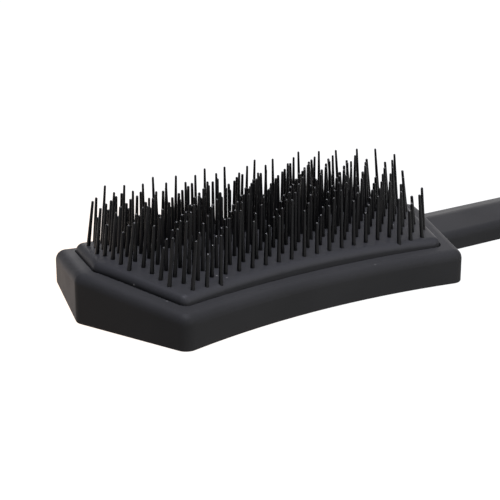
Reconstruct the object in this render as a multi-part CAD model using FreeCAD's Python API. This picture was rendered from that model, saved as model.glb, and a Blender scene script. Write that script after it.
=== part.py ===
import FreeCAD, Part
import math
import os

# A hair brush lying on its back, bristles up. Millimetres.
# +X runs from the head along the handle, +Y across the head, +Z out of the pad.
# The origin is on the flat underside, below the middle of the head.

# Driving dimensions of the head, seen from above
overall_length = 245.0
pad_half_width = 32.8
shoulder_spacing = 99.4
tip_projection = 11.5
waist_depth = 5.1
rim_width = 5.8
shoulder_corner_radius = 3.7
tip_corner_radius = 4.0
pad_corner_radius = 2.8

# Driving dimensions of the head's roofed and scooped rim
ridge_height = 14.0
roof_fall = 3.8
ridge_blend_radius = 40.0
scoop_depth = 0.9
rim_edge_radius = 3.2
underside_edge_radius = 0.6

# Handle, roofed like the head
handle_width = 25.2
handle_ridge_height = 9.25
handle_roof_fall = 3.2
handle_ridge_blend_radius = 6.0
handle_top_edge_radius = 3.0
handle_end_corner_radius = 10.0

# Shell of the head
wall_thickness = 2.4
lip_thickness = 2.5
cover_thickness = 2.0
cover_ledge = 0.9
cover_clearance = 0.1

# Floating pad, whose roofed top runs straight along the head, and what lies under it
pad_ridge_height = 17.88
pad_roof_fall = 4.53
pad_ridge_blend_radius = 50.0
pad_thickness = 7.3
pad_gap = 0.45
pad_edge_radius = 2.4
flange_reach = 2.8
flange_clearance = 0.3
pad_travel = 1.5
foam_thickness = 2.8
foam_inset = 1.0
foam_clearance = 0.1
stop_radius = 2.5
stop_clearance = 0.1
stop_spacing_along = 35.0
stop_spacing_across = 30.0
stop_hole_clearance = 0.7

# Bristles
bristle_rows = 13
bristle_columns = 23
bristle_row_margin = 4.14
bristle_column_margin = 6.93
bristle_side_clearance = 1.15
bristle_end_clearance = 2.6
long_bristle_length = 18.8
medium_bristle_length = 14.6
short_bristle_length = 9.9
bristle_base_radius = 0.65
long_bristle_tip_radius = 0.36
bristle_seat_depth = 1.2
bristle_hole_clearance = 0.04
end_bristle_lean_degrees = 9.5
end_lean_growth_power = 4
stray_lean_degrees = 1.3

# Phase steps that make the leans differ from bristle to bristle
stray_step_along = 12.9898
stray_step_across = 78.233

# Cutting tools run past the faces that they cut by this much
overrun = 3.0

# Share of a length that counts as nothing when edges are told apart
small_share = 0.001

# Values that follow from the sizes above
half_spacing = shoulder_spacing / 2
tip_x = half_spacing + tip_projection
facet_length = math.hypot(tip_projection, pad_half_width)
tip_stretch_share = facet_length / pad_half_width
outer_tip_x = tip_x + rim_width * tip_stretch_share
rounded_tip_x = outer_tip_x - tip_corner_radius * (tip_stretch_share - 1)
handle_end_x = overall_length - rounded_tip_x
scoop_radius = half_spacing ** 2 / (2 * scoop_depth)
scoop_axis_height = ridge_height + scoop_radius
roof_slope = roof_fall / pad_half_width
pad_roof_slope = pad_roof_fall / pad_half_width
handle_roof_slope = handle_roof_fall / (handle_width / 2)
roof_reach = pad_half_width + rim_width + overrun
waist_radius = (half_spacing ** 2 + waist_depth ** 2) / (2 * waist_depth)
inner_wall_offset = rim_width - wall_thickness
carrier_bottom = cover_thickness + foam_thickness + foam_clearance
bristle_pitch_across = 2 * (pad_half_width - bristle_row_margin) / (bristle_rows - 1)
bristle_pitch_along = 2 * (tip_x - bristle_column_margin) / (bristle_columns - 1)
bristle_taper = (bristle_base_radius - long_bristle_tip_radius) / long_bristle_length
bristle_root_depth = pad_thickness + bristle_seat_depth
top_of_all = pad_ridge_height + long_bristle_length + overrun
up = FreeCAD.Vector(0, 0, 1)
across = FreeCAD.Vector(0, 1, 0)
along = FreeCAD.Vector(1, 0, 0)


def point(x, y, z=0.0):
    return FreeCAD.Vector(x, y, z)


def roof_height(y, ridge, slope, blend_radius):
    """Height across a roof: two slopes that meet in a rounded ridge."""
    angle = math.atan(slope)
    if abs(y) < blend_radius * math.sin(angle):
        return ridge - blend_radius + math.sqrt(blend_radius ** 2 - y ** 2)
    return ridge + blend_radius * (1 / math.cos(angle) - 1) - slope * abs(y)


def rim_height(y):
    """Height of the rim's top across the middle of the head."""
    return roof_height(y, ridge_height, roof_slope, ridge_blend_radius)


def pad_height(y):
    """Height of the pad's top, which is the same all along the head."""
    return roof_height(y, pad_ridge_height, pad_roof_slope, pad_ridge_blend_radius)


def roof_profile(ridge, slope, blend_radius):
    """Upright face across the head, from well below it up to a roof."""
    blend_half_width = blend_radius * math.sin(math.atan(slope))
    blend_height = roof_height(blend_half_width, ridge, slope, blend_radius)
    eave_height = roof_height(roof_reach, ridge, slope, blend_radius)
    corners = [point(0, -blend_half_width, blend_height), point(0, -roof_reach, eave_height),
               point(0, -roof_reach, -ridge), point(0, roof_reach, -ridge),
               point(0, roof_reach, eave_height), point(0, blend_half_width, blend_height)]
    edges = [Part.makeLine(corners[k], corners[k + 1]) for k in range(len(corners) - 1)]
    edges.append(Part.Arc(corners[-1], point(0, 0, ridge), corners[0]).toShape())
    return Part.Face(Part.Wire(edges))


def below_rim(lift):
    """Everything under the rim's roofed top, which is scooped along the head, raised by lift."""
    profile = roof_profile(ridge_height, roof_slope, ridge_blend_radius)
    half_turn_degrees = math.degrees(math.asin((outer_tip_x + overrun) / scoop_radius))
    axis_point = point(0, 0, scoop_axis_height)
    profile.rotate(axis_point, across, -half_turn_degrees)
    solid = profile.revolve(axis_point, across, 2 * half_turn_degrees)
    solid.translate(point(0, 0, lift))
    return solid


def below_straight_roof(ridge, slope, blend_radius, reach):
    """Everything under a roof that runs straight along the brush, as far as reach both ways."""
    profile = roof_profile(ridge, slope, blend_radius)
    profile.translate(point(-reach, 0))
    return profile.extrude(along * (2 * reach))


def below_pad(lift):
    """Everything under the pad's roofed top, raised by lift."""
    solid = below_straight_roof(pad_ridge_height, pad_roof_slope, pad_ridge_blend_radius,
                                outer_tip_x + overrun)
    solid.translate(point(0, 0, lift))
    return solid


def head_wire(offset):
    """The pad's parting line, pointed at both ends and waisted at the sides, moved outwards by offset."""
    side_y = pad_half_width
    waist_y = pad_half_width - waist_depth
    corners = [point(-tip_x, 0), point(-half_spacing, -side_y), point(half_spacing, -side_y),
               point(tip_x, 0), point(half_spacing, side_y), point(-half_spacing, side_y)]
    near_side = Part.Arc(corners[1], point(0, -waist_y), corners[2]).toShape()
    far_side = Part.Arc(corners[4], point(0, waist_y), corners[5]).toShape()
    edges = [Part.makeLine(corners[0], corners[1]), near_side,
             Part.makeLine(corners[2], corners[3]), Part.makeLine(corners[3], corners[4]),
             far_side, Part.makeLine(corners[5], corners[0])]
    wire = Part.Wire(edges)
    if offset == 0:
        return wire
    sharp_joins = 2
    return wire.makeOffset2D(offset, sharp_joins)


def is_upright(edge):
    """True of a straight edge that runs along Z."""
    box = edge.BoundBox
    return box.ZLength > 0 and math.hypot(box.XLength, box.YLength) < small_share * box.ZLength


def rounded_corners(solid, radius, at_tips):
    """Rounds the upright corners at the two tips, or those at the four shoulders."""
    upright = [e for e in solid.Edges if is_upright(e)]
    chosen = [e for e in upright if (abs(e.CenterOfMass.y) < pad_half_width / 2) == at_tips]
    return solid.makeFillet(radius, chosen)


def column(offset, bottom, top, shoulder_radius, tip_radius):
    """An upright solid on the head's outline, with its upright corners rounded."""
    face = Part.Face(head_wire(offset))
    face.translate(point(0, 0, bottom))
    solid = face.extrude(up * (top - bottom))
    return rounded_corners(rounded_corners(solid, shoulder_radius, False), tip_radius, True)


def inner_column(offset, bottom, top):
    """A column with the small corners that the pad and all inside the head share."""
    return column(offset, bottom, top, pad_corner_radius, pad_corner_radius)


def rounded_top(solid, radius, lowest, start_x):
    """Rounds the edges of a roofed top, which all lie higher than lowest and reach beyond start_x."""
    lying = [e for e in solid.Edges if not is_upright(e)]
    chosen = [e for e in lying if e.BoundBox.ZMin > lowest and e.BoundBox.XMax > start_x]
    return solid.makeFillet(radius, chosen)


def rounded_underside(solid, radius, start_x):
    """Rounds the edges of a flat underside that reach beyond start_x."""
    edges = [e for e in solid.Edges if e.BoundBox.ZMax < radius / 2 and e.BoundBox.XMax > start_x]
    return solid.makeFillet(radius, edges)


def handle_bar():
    """The roofed bar of the handle, from inside the head to its rounded end."""
    bar = Part.makeBox(handle_end_x - half_spacing, handle_width, handle_ridge_height + overrun,
                       point(half_spacing, -handle_width / 2, 0))
    end_edges = [e for e in bar.Edges if is_upright(e) and e.BoundBox.XMin > tip_x]
    bar = bar.makeFillet(handle_end_corner_radius, end_edges)
    roof = below_straight_roof(handle_ridge_height, handle_roof_slope, handle_ridge_blend_radius,
                               handle_end_x + overrun)
    bar = rounded_top(bar.common(roof), handle_top_edge_radius, handle_ridge_height / 2, tip_x)
    return rounded_underside(bar, underside_edge_radius, tip_x)


def make_body_shell():
    """Head casing with the raised rim round the pad's opening, moulded in one with the handle."""
    head = column(rim_width, 0, top_of_all, shoulder_corner_radius, tip_corner_radius).common(below_rim(0))
    head = rounded_top(head, rim_edge_radius, rim_height(roof_reach) / 2, -outer_tip_x)
    head = rounded_underside(head, underside_edge_radius, -outer_tip_x)
    cavity = inner_column(inner_wall_offset, cover_thickness, top_of_all).common(below_rim(-lip_thickness))
    opening = inner_column(pad_gap / 2, cover_thickness, top_of_all)
    rebate = inner_column(inner_wall_offset + cover_ledge, -overrun, cover_thickness)
    cut_out = cavity.fuse([opening, rebate])
    return head.fuse(handle_bar()).cut(cut_out).removeSplitter()


def stop_places():
    x_places = (-stop_spacing_along, 0, stop_spacing_along)
    y_places = (-stop_spacing_across / 2, stop_spacing_across / 2)
    return [point(x, y) for x in x_places for y in y_places]


def make_back_cover():
    """Flat plate let into the underside, with the stops that end the pad's travel."""
    plate = inner_column(inner_wall_offset + cover_ledge - cover_clearance, 0, cover_thickness)
    stop_top = carrier_bottom - pad_travel - stop_clearance
    stops = [Part.makeCylinder(stop_radius, stop_top, place) for place in stop_places()]
    return plate.fuse(stops).removeSplitter()


def make_foam_sheet():
    """Foam that carries the pad and lets it give, with a hole round each stop."""
    sheet = inner_column(-foam_inset, cover_thickness, cover_thickness + foam_thickness)
    holes = [Part.makeCylinder(stop_radius + stop_hole_clearance, carrier_bottom + overrun, place)
             for place in stop_places()]
    return sheet.cut(holes)


def make_bristle_carrier(holes):
    """Rigid bed under the pad, in which the bristles' roots are seated."""
    bed = inner_column(flange_reach, carrier_bottom, top_of_all)
    return bed.common(below_pad(-pad_thickness)).cut(holes)


def make_bristle_pad(holes):
    """Elastomer pad that stands proud of the rim, with a flange held under the rim's lip."""
    plug = inner_column(-pad_gap / 2, cover_thickness, top_of_all).common(below_pad(0))
    plug = rounded_top(plug, pad_edge_radius, rim_height(roof_reach) / 2, -outer_tip_x)
    flange = inner_column(flange_reach, cover_thickness, top_of_all)
    flange = flange.common(below_rim(-lip_thickness - flange_clearance))
    return plug.fuse(flange).cut(below_pad(-pad_thickness)).removeSplitter().cut(holes)


def make_bristle(length):
    """One tapered bristle with a round tip, its root straight. Its origin is at the pad's surface."""
    tip_radius = bristle_base_radius - bristle_taper * length
    neck_height = length - tip_radius
    slant = tip_radius * math.sqrt(0.5)
    root_end = point(0, 0, -bristle_root_depth)
    root_edge = point(bristle_base_radius, 0, -bristle_root_depth)
    base_edge = point(bristle_base_radius, 0, 0)
    neck = point(tip_radius, 0, neck_height)
    tip = point(0, 0, length)
    dome = Part.Arc(neck, point(slant, 0, neck_height + slant), tip).toShape()
    edges = [Part.makeLine(root_end, root_edge), Part.makeLine(root_edge, base_edge),
             Part.makeLine(base_edge, neck), dome, Part.makeLine(tip, root_end)]
    full_turn_degrees = 360
    return Part.Face(Part.Wire(edges)).revolve(point(0, 0), up, full_turn_degrees)


def facet_x(y):
    """How far along the head the parting line's end facets lie at a place across it."""
    return tip_x - tip_projection * abs(y) / pad_half_width


def has_bristle(x, y):
    """True where a place of the grid lies far enough inside the pad's waisted sides and end facets."""
    waist_centre_y = pad_half_width - waist_depth + waist_radius
    to_side = math.hypot(x, waist_centre_y - abs(y)) - waist_radius
    to_facet = (facet_x(y) - abs(x)) * pad_half_width / facet_length
    return to_side > bristle_side_clearance and to_facet > bristle_end_clearance


def stray(number, row, phase):
    """A small fixed share of lean that differs from bristle to bristle."""
    return math.sin(stray_step_along * number + stray_step_across * row + phase)


def bristle_places():
    """Row, kind and placement of every bristle. Diagonals of one kind meet at the ridge in arrow shapes."""
    kinds = ("short", "medium", "long", "medium")
    places = []
    end_number = (bristle_columns - 1) // 2
    last_row = bristle_rows - 1
    for row in range(bristle_rows):
        y = (row - last_row / 2) * bristle_pitch_across
        from_side = min(row, last_row - row)
        for number in range(-end_number, end_number + 1):
            x = number * bristle_pitch_along
            if not has_bristle(x, y):
                continue
            end_share = abs(x) / facet_x(y)
            lean_inwards = -math.copysign(end_bristle_lean_degrees * end_share ** end_lean_growth_power, x)
            lean_along = lean_inwards + stray_lean_degrees * stray(number, row, 0)
            lean_across = stray_lean_degrees * stray(number, row, math.pi / 2)
            turn = FreeCAD.Rotation(across, lean_along).multiply(FreeCAD.Rotation(along, lean_across))
            kind = kinds[(number - from_side) % len(kinds)]
            places.append((row, kind, FreeCAD.Placement(point(x, y, pad_height(y)), turn)))
    return places


def placed(shape, placement):
    copy = shape.copy()
    copy.Placement = placement
    return copy


def make_bristle_holes(places):
    """The holes that the bristles' roots fill, through the pad and into its carrier."""
    radius = bristle_base_radius + bristle_hole_clearance
    depth = bristle_root_depth + bristle_hole_clearance
    tool = Part.makeCylinder(radius, depth + overrun, point(0, 0, -depth))
    return [placed(tool, placement) for row, kind, placement in places]


def make_bristle_groups(places):
    """The bristles of each row, with each length in a group of its own."""
    models = {"long": make_bristle(long_bristle_length),
              "medium": make_bristle(medium_bristle_length),
              "short": make_bristle(short_bristle_length)}
    groups = {}
    for row, kind, placement in places:
        name = "%s_bristles_row_%02d" % (kind, row + 1)
        groups.setdefault(name, []).append(placed(models[kind], placement))
    return {name: Part.makeCompound(solids) for name, solids in groups.items()}


def main():
    os.makedirs("parts", exist_ok=True)
    places = bristle_places()
    holes = make_bristle_holes(places)
    parts = {"body_shell": make_body_shell(),
             "back_cover": make_back_cover(),
             "foam_sheet": make_foam_sheet(),
             "bristle_carrier": make_bristle_carrier(holes),
             "bristle_pad": make_bristle_pad(holes)}
    parts.update(make_bristle_groups(places))
    for name, shape in parts.items():
        shape.exportStep(os.path.join("parts", name + ".step"))
        print(name, "solids", len(shape.Solids), "valid", shape.isValid(), "volume", round(shape.Volume, 1))


main()
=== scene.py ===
"""Looks of a black paddle hair brush: its finishes, its foam and the studio round it."""

import math

import bpy
from bpy.props import FloatProperty, FloatVectorProperty, PointerProperty
from bpy.types import Operator, Panel, PropertyGroup
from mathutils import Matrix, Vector


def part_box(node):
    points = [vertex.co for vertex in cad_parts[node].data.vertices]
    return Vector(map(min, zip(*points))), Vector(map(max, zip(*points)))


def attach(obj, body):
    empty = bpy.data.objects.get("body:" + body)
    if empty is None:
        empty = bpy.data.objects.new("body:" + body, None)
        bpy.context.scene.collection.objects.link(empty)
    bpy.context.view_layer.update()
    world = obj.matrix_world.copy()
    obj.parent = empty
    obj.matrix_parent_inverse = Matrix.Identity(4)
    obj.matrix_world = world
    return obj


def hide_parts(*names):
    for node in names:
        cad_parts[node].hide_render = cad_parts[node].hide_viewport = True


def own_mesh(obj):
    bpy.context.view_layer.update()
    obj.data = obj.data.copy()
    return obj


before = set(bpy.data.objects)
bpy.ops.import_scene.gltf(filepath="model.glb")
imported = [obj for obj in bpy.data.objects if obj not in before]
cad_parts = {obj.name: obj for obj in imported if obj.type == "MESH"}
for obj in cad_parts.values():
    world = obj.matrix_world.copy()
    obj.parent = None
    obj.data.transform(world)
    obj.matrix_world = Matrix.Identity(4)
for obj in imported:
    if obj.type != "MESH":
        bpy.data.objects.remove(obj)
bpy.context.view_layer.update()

bl_info = {
    "name": "Hair brush looks",
    "version": (1, 0, 0),
    "blender": (4, 5, 0),
    "location": "View3D > Sidebar > Brush",
    "description": "Finishes a paddle hair brush and sets the studio round it",
    "category": "Object",
}

BRISTLE_NODES = sorted(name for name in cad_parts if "_bristles_row_" in name)
FOAM_LOW, FOAM_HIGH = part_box("foam_sheet")

# In the finishes below, patterns are in cells per metre and depths in metres.
# A sway is how far a pattern moves the roughness. Shade shares give the darkest and the palest
# shade as shares of the colour. Stops are pairs of place and level.

# Soft-touch coat of the shell and its cover, and in a paler shade of the carrier
COAT_GRAIN = {"Scale": 2600.0, "Detail": 3.0, "Roughness": 0.6}
COAT_CLOUDS = {"Scale": 26.0, "Detail": 3.0, "Roughness": 0.55}
COAT_PATCHES = {"Scale": 90.0, "Detail": 2.0, "Roughness": 0.5}
COAT_CLOUD_STOPS = ((0.3, 0.0), (0.7, 1.0))
COAT_SHADE_SHARES = (0.88, 1.12)
COAT_LINT_DENSITY = 420.0
COAT_LINT_SHARE = 0.008
COAT_LINT_STRENGTH = 0.12
COAT_PATCH_SWAY = 0.14
COAT_GRAIN_SWAY = 0.1
COAT_LINT_SWAY = 0.2
COAT_BUMP_STRENGTH = 0.35
COAT_SHADER = {"Specular IOR Level": 0.04, "Sheen Weight": 0.038, "Sheen Roughness": 0.3}
SHELL_GRAIN_DEPTH = 0.00003
CARRIER_GRAIN_DEPTH = 0.00002
CARRIER_COLOUR_SHARE = 2.0

# Elastomer of the pad, with flow marks drawn out along the head, and painted light that makes its long side
# edges paler
PAD_GRAIN = {"Scale": 3200.0, "Detail": 2.0, "Roughness": 0.6}
PAD_CLOUDS = {"Scale": 40.0, "Detail": 2.0, "Roughness": 0.5}
PAD_FLOW = {"Scale": 160.0, "Detail": 3.0, "Roughness": 0.5}
PAD_FLOW_MAPPING = (0.25, 1.0, 1.0)
PAD_FLOW_SHARE = 0.6
PAD_SHADE_SHARES = (0.85, 1.18)
# Painted light: how much paler a long side edge of the pad is painted, from upright to facing a little
# upwards
PAD_PAINTED_LIGHT_STOPS = ((0.0, 0.45), (0.3, 1.0))
PAD_LINT_DENSITY = 520.0
PAD_LINT_SHARE = 0.02
PAD_LINT_STRENGTH = 0.4
PAD_FLOW_SWAY = 0.16
PAD_GRAIN_SWAY = 0.1
PAD_BUMP_STRENGTH = 0.3
PAD_GRAIN_DEPTH = 0.00002
PAD_SHADER = {"Specular IOR Level": 0.045, "Sheen Weight": 0.015, "Sheen Roughness": 0.3}

# Nylon of the bristles, whose grid tells one bristle from the next, with marks drawn out upwards
BRISTLE_PITCH_ALONG = 0.004934
BRISTLE_PITCH_ACROSS = 0.004777
BRISTLE_MARKS = {"Scale": 2400.0, "Detail": 2.0, "Roughness": 0.5}
BRISTLE_MARK_MAPPING = (1.0, 1.0, 0.08)
BRISTLE_OWN_SHARE = 0.7
BRISTLE_SHADE_SHARES = (0.7, 1.5)
BRISTLE_OWN_SWAY = 0.12
BRISTLE_MARK_SWAY = 0.12
BRISTLE_BUMP_STRENGTH = 0.15
BRISTLE_MARK_DEPTH = 0.00001
BRISTLE_SHADER = {"Specular IOR Level": 0.155, "Coat IOR": 1.33, "Coat Roughness": 0.12}

# A bristle's surface counts as its polished tip where it faces upwards more than this
TIP_UPWARDS = 0.3
TIP_COAT = 0.6

# Foam with open cells, with painted shade in their pores
FOAM_CELL_DENSITY = 1800.0
# Painted shade: a foam cell is darkest at its middle, where the bump sinks it into a pore
FOAM_SHADE_SHARES = (0.4, 1.4)
FOAM_ROUGHNESS = 0.85
FOAM_CELL_SWAY = 0.1
FOAM_BUMP_STRENGTH = 0.6
FOAM_CELL_DEPTH = 0.0002
FOAM_SHADER = {"Specular IOR Level": 0.2}

# Paper of the floor
PAPER_TOOTH = {"Scale": 300.0, "Detail": 2.0, "Roughness": 0.5}
PAPER_SHADE_SHARES = (0.995, 1.005)
PAPER_ROUGHNESS = 0.9
PAPER_TOOTH_SWAY = 0.05
PAPER_SHADER = {"Specular IOR Level": 0.1, "Emission Strength": 1.0}

# Patch of the floor behind the tip that shines more warmly: its middle and its reach, in metres
WARM_PLACE = (-0.07, 0.06, 0.0)
WARM_REACH = 0.12
WARM_STOPS = ((0.0, 1.0), (1.0, 0.0))

# Middle of a noise pattern's values, and the radius of a speck of lint as a share of its cell
NOISE_MIDDLE = 0.5
SPECK_RADIUS_SHARE = 0.16

# Places of the sockets on a Mix node that mixes colours
MIX_FACTOR = 0
MIX_FIRST = 6
MIX_SECOND = 7
MIX_RESULT = 2

# Fineness of the foam's mesh, how many sheets deep a cutting tool is, and what is merged or smoothed
WAIST_SIDES = 720
HOLE_SIDES = 40
EDGE_STEPS = 3
TOOL_DEPTH_SHARE = 4
MERGE_DISTANCE = 0.00001
SMOOTH_ANGLE = math.radians(40)

# Camera: width of its sensor in millimetres, and the nearest distance that it sees in metres
SENSOR_WIDTH = 36.0
NEAREST_SEEN = 0.01

# Square lights: where each hangs, what it is turned to and its side, in metres, and its colour
WHITE = (1.0, 1.0, 1.0)
LIGHTS = {
    "top_light": {"place": (-0.06, -0.06, 0.5), "aim": (-0.02, 0.0, 0.0), "side": 0.25,
                  "colour": (0.865, 0.875, 1.0)},
    "back_light": {"place": (1.0, 1.0, 0.6), "aim": (0.0, 0.0, 0.01), "side": 1.5,
                   "colour": (1.0, 0.97, 0.96)},
    "side_light": {"place": (0.3, -0.95, 0.3), "aim": (0.0, 0.0, 0.01), "side": 0.8,
                   "colour": WHITE},
}


# Sizes and colours that a user would change

class BrushFinish(PropertyGroup):
    """Colours and gloss of the brush's surfaces."""
    shell_colour: FloatVectorProperty(
        name="Shell colour", description="Soft-touch coat of the head, its cover and the handle",
        subtype="COLOR", size=3, min=0, max=1, default=(0.0139, 0.0139, 0.0143))
    shell_roughness: FloatProperty(
        name="Shell roughness", description="Dullness of the soft-touch coat",
        subtype="FACTOR", min=0, max=1, default=0.57)
    pad_colour: FloatVectorProperty(
        name="Pad colour", description="Elastomer of the pad that holds the bristles",
        subtype="COLOR", size=3, min=0, max=1, default=(0.0127, 0.0128, 0.0137))
    # Painted light: a paler colour for the pad's long side edges, standing in for the light from the side
    # that falls on them
    painted_light_colour: FloatVectorProperty(
        name="Rubbed colour", description="Long rolled edges of the pad, rubbed paler in use",
        subtype="COLOR", size=3, min=0, max=1, default=(0.0245, 0.0245, 0.026))
    pad_roughness: FloatProperty(
        name="Pad roughness", description="Dullness of the pad",
        subtype="FACTOR", min=0, max=1, default=0.5)
    bristle_colour: FloatVectorProperty(
        name="Bristle colour", description="Nylon of the bristles",
        subtype="COLOR", size=3, min=0, max=1, default=(0.0025, 0.0025, 0.0027))
    bristle_roughness: FloatProperty(
        name="Bristle roughness", description="Dullness of the bristles",
        subtype="FACTOR", min=0, max=1, default=0.28)
    foam_colour: FloatVectorProperty(
        name="Foam colour", description="Foam under the pad",
        subtype="COLOR", size=3, min=0, max=1, default=(0.05, 0.05, 0.055))
    dust_colour: FloatVectorProperty(
        name="Dust colour", description="Lint that a matt black coat picks up",
        subtype="COLOR", size=3, min=0, max=1, default=(0.16, 0.155, 0.15))


class BrushFoam(PropertyGroup):
    """The foam sheet under the pad."""
    half_width: FloatProperty(
        name="Half width", description="From the head's middle line to a shoulder of the pad",
        unit="LENGTH", min=0.001, default=0.0328)
    tip_projection: FloatProperty(
        name="Tip projection", description="How far the pointed ends stand out beyond the shoulders",
        unit="LENGTH", min=0, default=0.0115)
    waist_radius: FloatProperty(
        name="Waist radius", description="Radius of the foam's hollow long sides",
        unit="LENGTH", min=0.01, default=0.2457)
    waist_centre: FloatProperty(
        name="Waist centre", description="From the head's middle line to the middle of a waist's circle",
        unit="LENGTH", min=0.01, default=0.2724)
    edge_radius: FloatProperty(
        name="Edge radius", description="Rounding of the foam's cut edges",
        unit="LENGTH", min=0, default=0.0008)
    hole_radius: FloatProperty(
        name="Hole radius", description="Holes round the travel stops",
        unit="LENGTH", min=0, default=0.0032)
    hole_spacing_along: FloatProperty(
        name="Hole spacing along", description="Distance between holes along the head",
        unit="LENGTH", min=0, default=0.035)
    hole_spacing_across: FloatProperty(
        name="Hole spacing across", description="Distance between the two lines of holes",
        unit="LENGTH", min=0, default=0.03)


class BrushStage(PropertyGroup):
    """Camera, floor and lights."""
    aim: FloatVectorProperty(
        name="Aim", description="Point on the floor that the camera looks at",
        subtype="TRANSLATION", unit="LENGTH", size=3, default=(0.0171, 0.0291, 0.0))
    distance: FloatProperty(
        name="Distance", description="From the camera to its aim",
        unit="LENGTH", min=0.01, default=0.4917)
    azimuth: FloatProperty(
        name="Azimuth", description="Heading of the camera's view, from +X towards +Y",
        subtype="ANGLE", default=math.radians(54.55))
    elevation: FloatProperty(
        name="Elevation", description="Height of the camera over the floor, as an angle",
        subtype="ANGLE", default=math.radians(17.71))
    lens: FloatProperty(
        name="Lens", description="Focal length on a 36 mm wide sensor, in millimetres",
        unit="CAMERA", min=1, default=101.6)
    floor_size: FloatProperty(
        name="Floor size", description="Side of the square floor",
        unit="LENGTH", min=0.1, default=6.0)
    floor_drop: FloatProperty(
        name="Floor drop", description="How far the floor lies under the brush, clear of its underside",
        unit="LENGTH", min=0, default=0.0001)
    floor_colour: FloatVectorProperty(
        name="Floor colour", description="What the glowing paper reflects, kept low so that no shadow shows",
        subtype="COLOR", size=3, min=0, max=1, default=(0.02, 0.02, 0.02))
    floor_glow: FloatVectorProperty(
        name="Floor glow", description="Light that the paper gives out",
        subtype="COLOR", size=3, min=0, max=2, default=(1.01, 1.01, 1.02))
    warm_glow: FloatVectorProperty(
        name="Warm glow", description="Light that the paper gives out behind the tip",
        subtype="COLOR", size=3, min=0, max=2, default=(1.48, 1.2, 1.0))
    sky_strength: FloatProperty(
        name="Sky strength", description="Even light from all round",
        min=0, default=0.1)
    top_power: FloatProperty(
        name="Top light", description="Cool soft light above the head, in watts",
        unit="POWER", min=0, default=7.4)
    back_power: FloatProperty(
        name="Back light", description="Large panel behind the handle, in watts",
        unit="POWER", min=0, default=15.0)
    side_power: FloatProperty(
        name="Side light", description="Panel on the near side, in watts",
        unit="POWER", min=0, default=9.3)


# Shader maths

class Value:
    """A shader socket that can be used in sums, and the way to add any other node."""

    def __init__(self, tree, socket=None):
        self.tree = tree
        self.socket = socket

    def node(self, kind, settings=None, sockets=None, out=0):
        """Adds a node: its settings, then its sockets' values or links. Returns one of its outputs."""
        made = self.tree.nodes.new(kind)
        for key, setting in (settings or {}).items():
            if key == "stops":
                fill_ramp(made.color_ramp, setting)
            else:
                setattr(made, key, setting)
        for key, given in (sockets or {}).items():
            if isinstance(given, Value):
                self.tree.links.new(given.socket, made.inputs[key])
            else:
                made.inputs[key].default_value = given
        if not made.outputs:
            return None
        return Value(self.tree, made.outputs[out])

    def maths(self, operation, first, second):
        return self.node("ShaderNodeMath", {"operation": operation}, {0: first, 1: second})

    def __add__(self, other):
        return self.maths("ADD", self, other)

    def __radd__(self, other):
        return self.maths("ADD", other, self)

    def __sub__(self, other):
        return self.maths("SUBTRACT", self, other)

    def __rsub__(self, other):
        return self.maths("SUBTRACT", other, self)

    def __mul__(self, other):
        return self.maths("MULTIPLY", self, other)

    def __rmul__(self, other):
        return self.maths("MULTIPLY", other, self)

    def __truediv__(self, other):
        return self.maths("DIVIDE", self, other)

    def __rtruediv__(self, other):
        return self.maths("DIVIDE", other, self)

    def __gt__(self, other):
        return self.maths("GREATER_THAN", self, other)

    def __lt__(self, other):
        return self.maths("LESS_THAN", self, other)


def fill_ramp(ramp, stops):
    """Gives a colour ramp its two stops: place and grey level."""
    for element, (place, level) in zip(ramp.elements, stops):
        element.position = place
        element.color = (level, level, level, 1.0)


def opaque(colour):
    return (colour[0], colour[1], colour[2], 1.0)


def scaled(colour, factor):
    return tuple(min(part * factor, 1.0) for part in colour)


# Parts of the finishes

def empty_graph(owner):
    """Clears the nodes of a material or a world, and gives a Value to add new ones from."""
    owner.use_nodes = True
    owner.node_tree.nodes.clear()
    return Value(owner.node_tree)


def new_material(name):
    material = bpy.data.materials.new(name)
    return material, empty_graph(material)


def end_material(graph, constants, varying):
    """Ends a material: what is the same all over is set on the shader's sockets, the rest is linked."""
    surface = graph.node("ShaderNodeBsdfPrincipled", {}, {**constants, **varying})
    graph.node("ShaderNodeOutputMaterial", {}, {"Surface": surface})


def own_place(graph):
    """A point's place on its piece, in metres."""
    return graph.node("ShaderNodeTexCoord", out="Object")


def part_of(graph, vector, axis):
    return graph.node("ShaderNodeSeparateXYZ", {}, {"Vector": vector}, axis)


def facing(graph, axis):
    """How far a surface faces along an axis, from -1 to 1."""
    normal = graph.node("ShaderNodeNewGeometry", out="Normal")
    return part_of(graph, normal, axis)


def whole(graph, value):
    """The nearest whole number."""
    return graph.node("ShaderNodeMath", {"operation": "ROUND"}, {0: value})


def mapped(graph, place, scale):
    """Places along which a pattern is drawn out wherever the scale is under 1."""
    return graph.node("ShaderNodeMapping", {}, {"Vector": place, "Scale": scale})


def noise(graph, place, pattern):
    return graph.node("ShaderNodeTexNoise", {"noise_dimensions": "3D"}, {"Vector": place, **pattern})


def sway(pattern, reach):
    """A noise pattern's swing to both sides of zero."""
    return (pattern - NOISE_MIDDLE) * reach


def cells(graph, place, density, out):
    """A pattern of cells: the distance to the nearest cell's middle, or that cell's colour."""
    return graph.node("ShaderNodeTexVoronoi", {"feature": "F1", "distance": "EUCLIDEAN"},
                      {"Vector": place, "Scale": density}, out)


def lint(graph, place, density, share):
    """Mask of sparse small specks: the middles of a few cells of a fine cell pattern."""
    near = cells(graph, place, density, "Distance")
    colour = cells(graph, place, density, "Color")
    pick = graph.node("ShaderNodeSeparateColor", {}, {"Color": colour}, "Red")
    return (near < SPECK_RADIUS_SHARE) * (pick > 1 - share)


def ramped(graph, factor, stops):
    return graph.node("ShaderNodeValToRGB", {"stops": stops}, {"Fac": factor})


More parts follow.
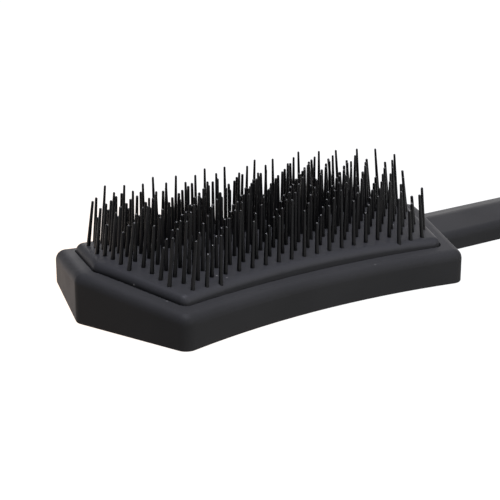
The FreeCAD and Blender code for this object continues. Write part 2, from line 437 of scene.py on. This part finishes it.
def blended(graph, factor, first, second):
    """Mix of two colours."""
    return graph.node("ShaderNodeMix", {"data_type": "RGBA"},
                      {MIX_FACTOR: factor, MIX_FIRST: first, MIX_SECOND: second}, MIX_RESULT)


def shaded(graph, factor, colour, shares):
    """A colour that varies between a dark and a pale shade of itself."""
    darkest, palest = shares
    return blended(graph, factor, opaque(scaled(colour, darkest)), opaque(scaled(colour, palest)))


def bumped(graph, height, strength, depth):
    """Normals of a surface with a fine relief."""
    return graph.node("ShaderNodeBump", {}, {"Strength": strength, "Distance": depth, "Height": height})


# Finishes

def coated_plastic(name, colour, roughness, dust, grain_depth):
    """Matt black coat over plastic: a fine grain, soft clouds, handled patches and a little lint."""
    material, graph = new_material(name)
    place = own_place(graph)
    grain = noise(graph, place, COAT_GRAIN)
    clouds = ramped(graph, noise(graph, place, COAT_CLOUDS), COAT_CLOUD_STOPS)
    patches = noise(graph, place, COAT_PATCHES)
    specks = lint(graph, place, COAT_LINT_DENSITY, COAT_LINT_SHARE)
    clean = shaded(graph, clouds, colour, COAT_SHADE_SHARES)
    rough = roughness + sway(patches, COAT_PATCH_SWAY) + sway(grain, COAT_GRAIN_SWAY)
    end_material(graph, COAT_SHADER, {
        "Base Color": blended(graph, specks * COAT_LINT_STRENGTH, clean, opaque(dust)),
        "Roughness": rough + specks * COAT_LINT_SWAY,
        "Normal": bumped(graph, grain, COAT_BUMP_STRENGTH, grain_depth)})
    return material


def moulded_elastomer(name, colour, painted_light_colour, roughness, dust):
    """Dull rubber of the pad: fine grain, faint flow marks, lint, and painted light that makes the long side
    edges paler.
    """
    material, graph = new_material(name)
    place = own_place(graph)
    grain = noise(graph, place, PAD_GRAIN)
    flow = noise(graph, mapped(graph, place, PAD_FLOW_MAPPING), PAD_FLOW)
    clouds = noise(graph, place, PAD_CLOUDS)
    marbling = flow * PAD_FLOW_SHARE + clouds * (1 - PAD_FLOW_SHARE)
    sideways = facing(graph, "Y")
    # Painted light: surfaces facing along Y, the pad's long side edges, are painted paler, most where they
    # also face a little upwards
    painted_light_mask = sideways * sideways * ramped(graph, facing(graph, "Z"), PAD_PAINTED_LIGHT_STOPS)
    specks = lint(graph, place, PAD_LINT_DENSITY, PAD_LINT_SHARE)
    fresh = shaded(graph, marbling, colour, PAD_SHADE_SHARES)
    with_painted_light = blended(graph, painted_light_mask, fresh, opaque(painted_light_colour))
    end_material(graph, PAD_SHADER, {
        "Base Color": blended(graph, specks * PAD_LINT_STRENGTH, with_painted_light, opaque(dust)),
        "Roughness": roughness + sway(flow, PAD_FLOW_SWAY) + sway(grain, PAD_GRAIN_SWAY),
        "Normal": bumped(graph, grain, PAD_BUMP_STRENGTH, PAD_GRAIN_DEPTH)})
    return material


def bristle_nylon(name, colour, roughness):
    """Satin nylon: each bristle a little different, with faint drawing marks and a polished tip."""
    material, graph = new_material(name)
    place = own_place(graph)
    column = whole(graph, part_of(graph, place, "X") / BRISTLE_PITCH_ALONG)
    row = whole(graph, part_of(graph, place, "Y") / BRISTLE_PITCH_ACROSS)
    grid_point = graph.node("ShaderNodeCombineXYZ", {}, {"X": column, "Y": row})
    own = graph.node("ShaderNodeTexWhiteNoise", {"noise_dimensions": "3D"}, {"Vector": grid_point})
    marks = noise(graph, mapped(graph, place, BRISTLE_MARK_MAPPING), BRISTLE_MARKS)
    tint = own * BRISTLE_OWN_SHARE + marks * (1 - BRISTLE_OWN_SHARE)
    tip = facing(graph, "Z") > TIP_UPWARDS
    end_material(graph, BRISTLE_SHADER, {
        "Base Color": shaded(graph, tint, colour, BRISTLE_SHADE_SHARES),
        "Roughness": roughness + sway(own, BRISTLE_OWN_SWAY) + sway(marks, BRISTLE_MARK_SWAY),
        "Coat Weight": tip * TIP_COAT,
        "Normal": bumped(graph, marks, BRISTLE_BUMP_STRENGTH, BRISTLE_MARK_DEPTH)})
    return material


def open_cell_foam(name, colour):
    """Foam with its small open cells, each darker at its middle: painted shade in the pores."""
    material, graph = new_material(name)
    near = cells(graph, own_place(graph), FOAM_CELL_DENSITY, "Distance")
    end_material(graph, FOAM_SHADER, {
        # Painted shade: darker towards each cell's middle, the pore
        "Base Color": shaded(graph, near, colour, FOAM_SHADE_SHARES),
        "Roughness": FOAM_ROUGHNESS + near * FOAM_CELL_SWAY,
        "Normal": bumped(graph, near, FOAM_BUMP_STRENGTH, FOAM_CELL_DEPTH)})
    return material


def glowing_paper(name, colour, glow, warm_glow):
    """Dark seamless paper that shines white, as over a light table, and more warmly behind the tip."""
    material, graph = new_material(name)
    place = own_place(graph)
    tooth = noise(graph, place, PAPER_TOOTH)
    away = graph.node("ShaderNodeVectorMath", {"operation": "DISTANCE"},
                      {0: place, 1: WARM_PLACE}, "Value")
    warmth = ramped(graph, away / WARM_REACH, WARM_STOPS)
    end_material(graph, PAPER_SHADER, {
        "Base Color": shaded(graph, tooth, colour, PAPER_SHADE_SHARES),
        "Roughness": PAPER_ROUGHNESS + tooth * PAPER_TOOTH_SWAY,
        "Emission Color": blended(graph, warmth, opaque(glow), opaque(warm_glow))})
    return material


# Modelling helpers

def deselect_all():
    bpy.ops.object.select_all(action="DESELECT")


def apply_modifier(piece, kind, settings):
    """Adds a modifier, gives it its settings and applies it."""
    modifier = piece.modifiers.new(kind.lower(), kind)
    for key, setting in settings.items():
        setattr(modifier, key, setting)
    bpy.context.view_layer.objects.active = piece
    bpy.ops.object.modifier_apply(modifier=modifier.name)


def cut_round(piece, radius, sides, place, depth):
    """Cuts an upright round hole or hollow out of a piece."""
    deselect_all()
    bpy.ops.mesh.primitive_cylinder_add(vertices=sides, radius=radius, depth=depth, location=place)
    tool = bpy.context.object
    apply_modifier(piece, "BOOLEAN", {"operation": "DIFFERENCE", "solver": "EXACT", "object": tool})
    bpy.data.objects.remove(tool)


def dress(node_name, material):
    """Gives a CAD node its finish."""
    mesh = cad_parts[node_name].data
    mesh.materials.clear()
    mesh.materials.append(material)


# One operator for each piece or group of like pieces

class BRUSH_OT_finish_shell(Operator):
    """Coat the head, its cover and the handle"""
    bl_idname = "brush.finish_shell"
    bl_label = "Finish shell"

    def execute(self, context):
        finish = context.scene.brush_finish
        coat = coated_plastic("soft_touch_black", finish.shell_colour, finish.shell_roughness,
                              finish.dust_colour, SHELL_GRAIN_DEPTH)
        for node_name in ("body_shell", "back_cover"):
            dress(node_name, coat)
        return {"FINISHED"}


class BRUSH_OT_finish_pad(Operator):
    """Finish the pad that the bristles stand in"""
    bl_idname = "brush.finish_pad"
    bl_label = "Finish pad"

    def execute(self, context):
        finish = context.scene.brush_finish
        rubber = moulded_elastomer("pad_elastomer", finish.pad_colour, finish.painted_light_colour,
                                   finish.pad_roughness, finish.dust_colour)
        dress("bristle_pad", rubber)
        return {"FINISHED"}


class BRUSH_OT_finish_carrier(Operator):
    """Finish the rigid bed under the pad"""
    bl_idname = "brush.finish_carrier"
    bl_label = "Finish carrier"

    def execute(self, context):
        finish = context.scene.brush_finish
        colour = scaled(finish.shell_colour, CARRIER_COLOUR_SHARE)
        plastic = coated_plastic("carrier_plastic", colour, finish.shell_roughness,
                                 finish.dust_colour, CARRIER_GRAIN_DEPTH)
        dress("bristle_carrier", plastic)
        return {"FINISHED"}


class BRUSH_OT_finish_bristles(Operator):
    """Finish every row of bristles"""
    bl_idname = "brush.finish_bristles"
    bl_label = "Finish bristles"

    def execute(self, context):
        finish = context.scene.brush_finish
        nylon = bristle_nylon("bristle_nylon_black", finish.bristle_colour, finish.bristle_roughness)
        for node_name in BRISTLE_NODES:
            dress(node_name, nylon)
        return {"FINISHED"}


class BRUSH_OT_make_foam(Operator):
    """Cut the foam sheet that carries the pad to the head's waisted, pointed shape"""
    bl_idname = "brush.make_foam"
    bl_label = "Make foam"

    def execute(self, context):
        foam = context.scene.brush_foam
        finish = context.scene.brush_finish
        size = FOAM_HIGH - FOAM_LOW
        middle = (FOAM_HIGH + FOAM_LOW) / 2
        deselect_all()
        bpy.ops.mesh.primitive_cube_add(size=1, location=middle, scale=size)
        sheet = context.object
        sheet.name = "foam_cushion"
        bpy.ops.object.transform_apply(location=True, rotation=True, scale=True)
        self.cut_ends(foam)
        tool_depth = TOOL_DEPTH_SHARE * size.z
        for side in (-1, 1):
            cut_round(sheet, foam.waist_radius, WAIST_SIDES, (0, side * foam.waist_centre, middle.z),
                      tool_depth)
        for x in (-foam.hole_spacing_along, 0, foam.hole_spacing_along):
            for y in (-foam.hole_spacing_across / 2, foam.hole_spacing_across / 2):
                cut_round(sheet, foam.hole_radius, HOLE_SIDES, (x, y, middle.z), tool_depth)
        apply_modifier(sheet, "BEVEL", {"width": foam.edge_radius, "segments": EDGE_STEPS,
                                        "limit_method": "ANGLE"})
        self.close_up(sheet)
        sheet.data.materials.append(open_cell_foam("cushion_foam_grey", finish.foam_colour))
        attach(sheet, "body")
        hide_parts("foam_sheet")
        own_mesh(sheet)
        return {"FINISHED"}

    def cut_ends(self, foam):
        """Cuts the two facets of each pointed end."""
        bpy.ops.object.mode_set(mode="EDIT")
        for end_x in (FOAM_LOW.x, FOAM_HIGH.x):
            outwards = math.copysign(foam.half_width, end_x)
            for side in (-1, 1):
                bpy.ops.mesh.select_all(action="SELECT")
                bpy.ops.mesh.bisect(plane_co=(end_x, 0, 0),
                                    plane_no=(outwards, side * foam.tip_projection, 0),
                                    use_fill=True, clear_outer=True)
        bpy.ops.object.mode_set(mode="OBJECT")

    def close_up(self, sheet):
        """Merges doubles, turns the faces outwards and smooths what is round."""
        deselect_all()
        sheet.select_set(True)
        bpy.context.view_layer.objects.active = sheet
        bpy.ops.object.mode_set(mode="EDIT")
        bpy.ops.mesh.select_all(action="SELECT")
        bpy.ops.mesh.remove_doubles(threshold=MERGE_DISTANCE)
        bpy.ops.mesh.normals_make_consistent(inside=False)
        bpy.ops.object.mode_set(mode="OBJECT")
        bpy.ops.object.shade_smooth_by_angle(angle=SMOOTH_ANGLE)


class BRUSH_OT_set_stage(Operator):
    """Lay the floor, hang the lights and place the camera"""
    bl_idname = "brush.set_stage"
    bl_label = "Set stage"

    def execute(self, context):
        stage = context.scene.brush_stage
        deselect_all()
        bpy.ops.mesh.primitive_plane_add(size=stage.floor_size, location=(0, 0, -stage.floor_drop))
        floor = context.object
        floor.name = "studio_floor"
        floor.data.materials.append(glowing_paper("studio_paper", stage.floor_colour,
                                                  stage.floor_glow, stage.warm_glow))
        self.add_light("top_light", stage.top_power)
        self.add_light("back_light", stage.back_power)
        self.add_light("side_light", stage.side_power)
        self.add_camera(context, stage)
        self.set_sky(context, stage.sky_strength)
        context.scene.view_settings.view_transform = "Standard"
        return {"FINISHED"}

    def add_light(self, name, power):
        """Hangs one of the square lights of the plan, turned to its aim."""
        plan = LIGHTS[name]
        heading = Vector(plan["aim"]) - Vector(plan["place"])
        bpy.ops.object.light_add(type="AREA", location=plan["place"],
                                 rotation=heading.to_track_quat("-Z", "Y").to_euler())
        light = bpy.context.object
        light.name = name
        light.data.size = plan["side"]
        light.data.energy = power
        light.data.color = plan["colour"]

    def add_camera(self, context, stage):
        """Places the camera where the photograph was taken from."""
        level = math.cos(stage.elevation)
        towards = Vector((level * math.cos(stage.azimuth), level * math.sin(stage.azimuth),
                          -math.sin(stage.elevation)))
        place = Vector(stage.aim) - towards * stage.distance
        bpy.ops.object.camera_add(location=place, rotation=towards.to_track_quat("-Z", "Y").to_euler())
        camera = context.object
        camera.name = "photo_camera"
        camera.data.sensor_width = SENSOR_WIDTH
        camera.data.lens = stage.lens
        camera.data.clip_start = NEAREST_SEEN
        context.scene.camera = camera

    def set_sky(self, context, strength):
        """A sky that is dim as a light and white where the camera sees it."""
        sky = bpy.data.worlds.new("studio_sky")
        graph = empty_graph(sky)
        seen = graph.node("ShaderNodeLightPath", out="Is Camera Ray")
        background = graph.node("ShaderNodeBackground", {}, {
            "Color": opaque(WHITE), "Strength": seen * (1 - strength) + strength})
        graph.node("ShaderNodeOutputWorld", {}, {"Surface": background})
        context.scene.world = sky


class BRUSH_PT_looks(Panel):
    """Sidebar panel with the sizes and colours of the brush's looks, and every step"""
    bl_idname = "BRUSH_PT_looks"
    bl_label = "Hair brush looks"
    bl_space_type = "VIEW_3D"
    bl_region_type = "UI"
    bl_category = "Brush"

    def draw(self, context):
        for group_name, group in GROUPS.items():
            box = self.layout.box()
            for setting in group.__annotations__:
                box.prop(getattr(context.scene, group_name), setting)
        for operator in OPERATORS:
            self.layout.operator(operator.bl_idname)


GROUPS = {"brush_finish": BrushFinish, "brush_foam": BrushFoam, "brush_stage": BrushStage}
OPERATORS = (BRUSH_OT_finish_shell, BRUSH_OT_finish_pad, BRUSH_OT_finish_carrier,
             BRUSH_OT_finish_bristles, BRUSH_OT_make_foam, BRUSH_OT_set_stage)


def register():
    for group in GROUPS.values():
        bpy.utils.register_class(group)
    for name, group in GROUPS.items():
        setattr(bpy.types.Scene, name, PointerProperty(type=group))
    for operator in OPERATORS:
        bpy.utils.register_class(operator)
    bpy.utils.register_class(BRUSH_PT_looks)


def unregister():
    bpy.utils.unregister_class(BRUSH_PT_looks)
    for operator in reversed(OPERATORS):
        bpy.utils.unregister_class(operator)
    for name in GROUPS:
        delattr(bpy.types.Scene, name)
    for group in GROUPS.values():
        bpy.utils.unregister_class(group)


def main():
    register()
    bpy.ops.brush.finish_shell()
    bpy.ops.brush.finish_pad()
    bpy.ops.brush.finish_carrier()
    bpy.ops.brush.finish_bristles()
    bpy.ops.brush.make_foam()
    bpy.ops.brush.set_stage()


if __name__ == "__main__":
    main()
